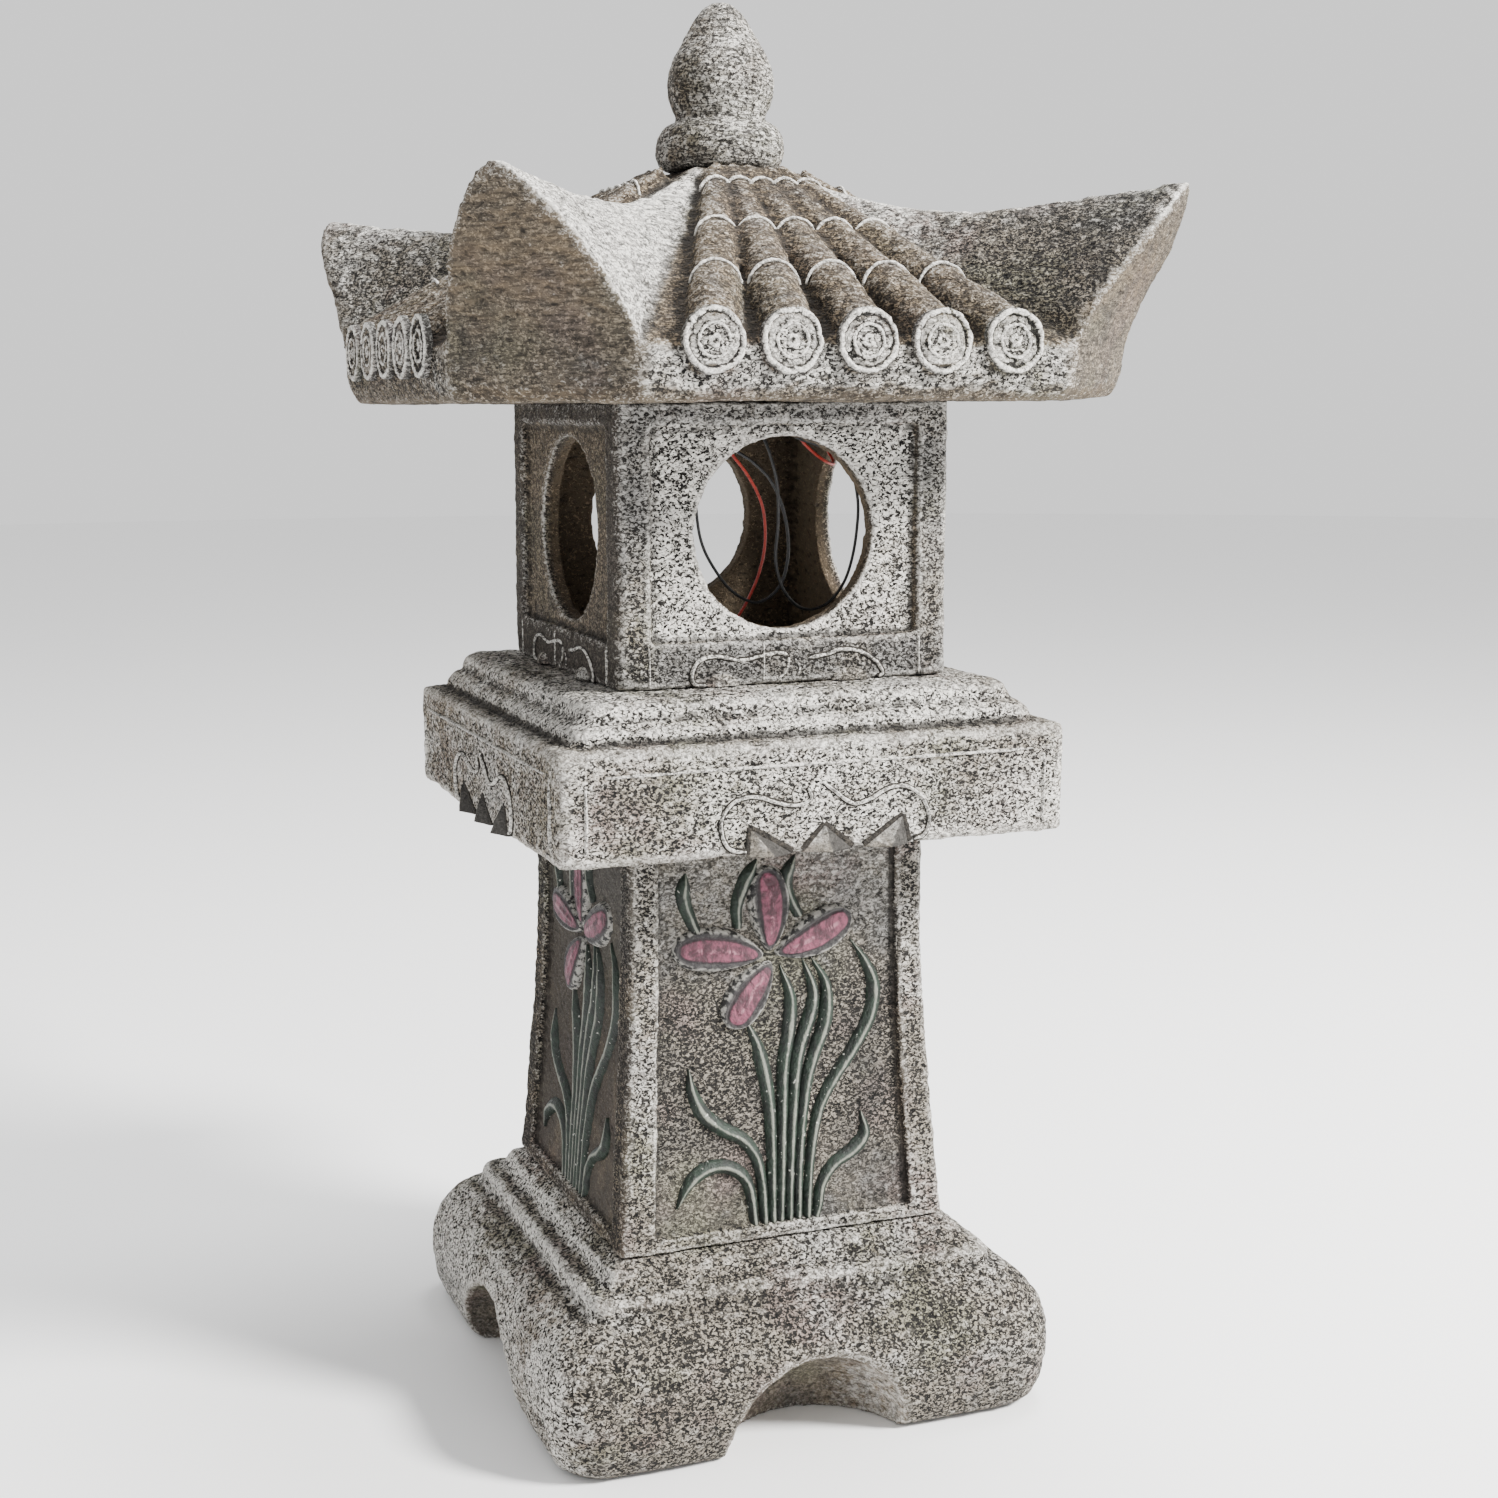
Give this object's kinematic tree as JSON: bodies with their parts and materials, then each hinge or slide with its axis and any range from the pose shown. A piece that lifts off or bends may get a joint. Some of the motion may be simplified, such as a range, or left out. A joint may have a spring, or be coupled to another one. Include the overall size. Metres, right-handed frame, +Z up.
{
  "type": "stone lantern",
  "caption": "Cast-stone pagoda garden lantern with a tiled, horned roof over a light box with round windows, on a flared post and a notched base.",
  "frame": {"origin": "middle of the base's underside", "axes": "+Z up, front faces -Y, +X to the right seen from the front"},
  "size_m": [0.249, 0.249, 0.5],
  "materials": {
    "cast_stone": "matte, pitted, weathered with whitewash and dark stains",
    "black_plastic": "satin",
    "solar_glass": "gloss",
    "steel": "satin",
    "battery_sleeve": "gloss",
    "nickel_plate": "satin",
    "circuit_board": "satin",
    "switch_plastic": "satin",
    "white_plastic": "satin",
    "led_epoxy": "gloss",
    "diffuser_plastic": "satin",
    "black_rubber": "matte",
    "black_lead": "satin",
    "red_lead": "satin"
  },
  "bodies": {
    "stand": {"base": "cast_stone", "post": "cast_stone", "platform_slab": "cast_stone", "light_box": "cast_stone"},
    "roof": {"roof": "cast_stone", "finial": "cast_stone", "solar_tray": "black_plastic", "solar_cell": "solar_glass", "light_housing": "black_plastic", "door_hinge_pin": "steel", "battery": "battery_sleeve", "battery_spring": "nickel_plate", "battery_contact_plate": "nickel_plate", "circuit_board": "circuit_board", "housing_screw_left": "steel", "housing_screw_right": "steel", "lamp_screw": "steel", "led_holder": "white_plastic", "led": "led_epoxy", "lamp_diffuser": "diffuser_plastic", "lamp_gland": "black_rubber", "charge_gland": "black_rubber", "panel_grommet": "black_rubber", "lamp_lead_black": "black_lead", "lamp_lead_red": "red_lead", "panel_lead_black": "black_lead", "panel_lead_red": "red_lead"},
    "battery_door": {"battery_door": "black_plastic"},
    "switch": {"switch_slider": "switch_plastic"}
  },
  "joints": [
    {"name": "roof_lift", "type": "slide", "parent": "stand", "child": "roof", "axis": [0, 0, 1], "range_m": [0, 0.12]},
    {"name": "battery_door_hinge", "type": "hinge", "parent": "roof", "child": "battery_door", "pos_m": [0, 0.0393, 0.37], "axis": [1, 0, 0], "range_deg": [0, 95]},
    {"name": "switch_slide", "type": "slide", "parent": "roof", "child": "switch", "axis": [0, 1, 0], "range_m": [0, 0.003]}
  ]
}
